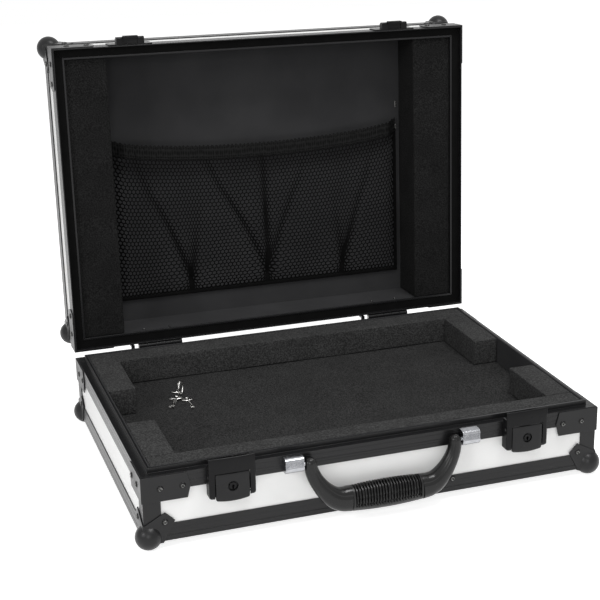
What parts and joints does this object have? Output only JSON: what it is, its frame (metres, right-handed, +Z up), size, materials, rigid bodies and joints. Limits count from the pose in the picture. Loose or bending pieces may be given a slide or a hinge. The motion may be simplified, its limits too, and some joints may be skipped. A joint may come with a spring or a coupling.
{
  "type": "laptop hard case",
  "caption": "Open hard case for a laptop: laminated boards in black aluminium profiles with ball corners, snap latches, a swing handle, a foam pocket and a net in the hinged lid.",
  "frame": {"origin": "on the floor plane under the ball corners, in the middle of the open case's width and of its depth from the grip to the lid's ball corners", "axes": "+X to the right along the case's width, +Y from the front wall with the handle to the hinges, +Z up"},
  "size_m": [0.4752, 0.43, 0.417],
  "materials": {
    "board": "satin",
    "profile": "satin",
    "hardware": "satin",
    "lining": "matte",
    "foam": "matte",
    "net": "matte",
    "bright": "polished",
    "steel": "satin",
    "handle_plastic": "matte",
    "grip_rubber": "matte"
  },
  "bodies": {
    "base": {"base_bottom_board": "board", "base_wall_boards": "board", "base_edge_profiles": "profile", "base_corner_posts": "profile", "base_rim_profiles": "profile", "base_lining": "lining", "base_ball_corners": "hardware", "base_corner_braces": "hardware", "base_rivets": "hardware", "foam_floor": "foam", "foam_front_strip": "foam", "foam_back_strip": "foam", "foam_side_blocks": "foam", "latch_housing_left": "hardware", "latch_housing_right": "hardware", "latch_pins": "steel", "latch_springs": "steel", "handle_bracket_left": "bright", "handle_bracket_right": "bright", "hinge_base_leaves": "hardware", "hinge_pins": "steel", "keys": "bright", "key_rings": "bright"},
    "lid": {"lid_top_board": "board", "lid_wall_boards": "board", "lid_edge_profiles": "profile", "lid_corner_posts": "profile", "lid_rim_profiles": "profile", "lid_lining": "lining", "lid_lining_sheet": "lining", "lid_ball_corners": "hardware", "lid_corner_braces": "hardware", "lid_rivets": "hardware", "lid_foam_left": "foam", "lid_foam_right": "foam", "net_pocket": "net", "net_tapes": "net", "net_hem": "net", "net_staples": "bright", "latch_catch_left": "hardware", "latch_catch_right": "hardware", "hinge_lid_leaves": "hardware"},
    "handle": {"handle_arms": "handle_plastic", "handle_grip": "grip_rubber", "handle_pins": "bright"},
    "latch_lever_left": {"latch_lever_left": "hardware"},
    "latch_lever_right": {"latch_lever_right": "hardware"},
    "lock_cylinder_left": {"lock_cylinder_left": "hardware"},
    "lock_cylinder_right": {"lock_cylinder_right": "hardware"}
  },
  "joints": [
    {"name": "lid_hinge", "type": "hinge", "parent": "base", "child": "lid", "pos_m": [0, 0.13718, 0.0769], "axis": [1, 0, 0], "range_deg": [0, 92]},
    {"name": "handle_swing", "type": "hinge", "parent": "base", "child": "handle", "pos_m": [0, -0.20022, 0.0652], "axis": [-1, 0, 0], "range_deg": [0, 90]},
    {"name": "latch_lift_left", "type": "hinge", "parent": "base", "child": "latch_lever_left", "pos_m": [-0.1485, -0.20022, 0.067], "axis": [-1, 0, 0], "range_deg": [0, 30], "stiffness_Nm_per_rad": 0.05, "springref_deg": -11.46},
    {"name": "lock_turn_left", "type": "hinge", "parent": "latch_lever_left", "child": "lock_cylinder_left", "pos_m": [-0.1485, -0.19822, 0.0572], "axis": [0, 1, 0], "range_deg": [0, 90]},
    {"name": "latch_lift_right", "type": "hinge", "parent": "base", "child": "latch_lever_right", "pos_m": [0.1485, -0.20022, 0.067], "axis": [-1, 0, 0], "range_deg": [0, 30], "stiffness_Nm_per_rad": 0.05, "springref_deg": -11.46},
    {"name": "lock_turn_right", "type": "hinge", "parent": "latch_lever_right", "child": "lock_cylinder_right", "pos_m": [0.1485, -0.19822, 0.0572], "axis": [0, 1, 0], "range_deg": [0, 90]}
  ]
}
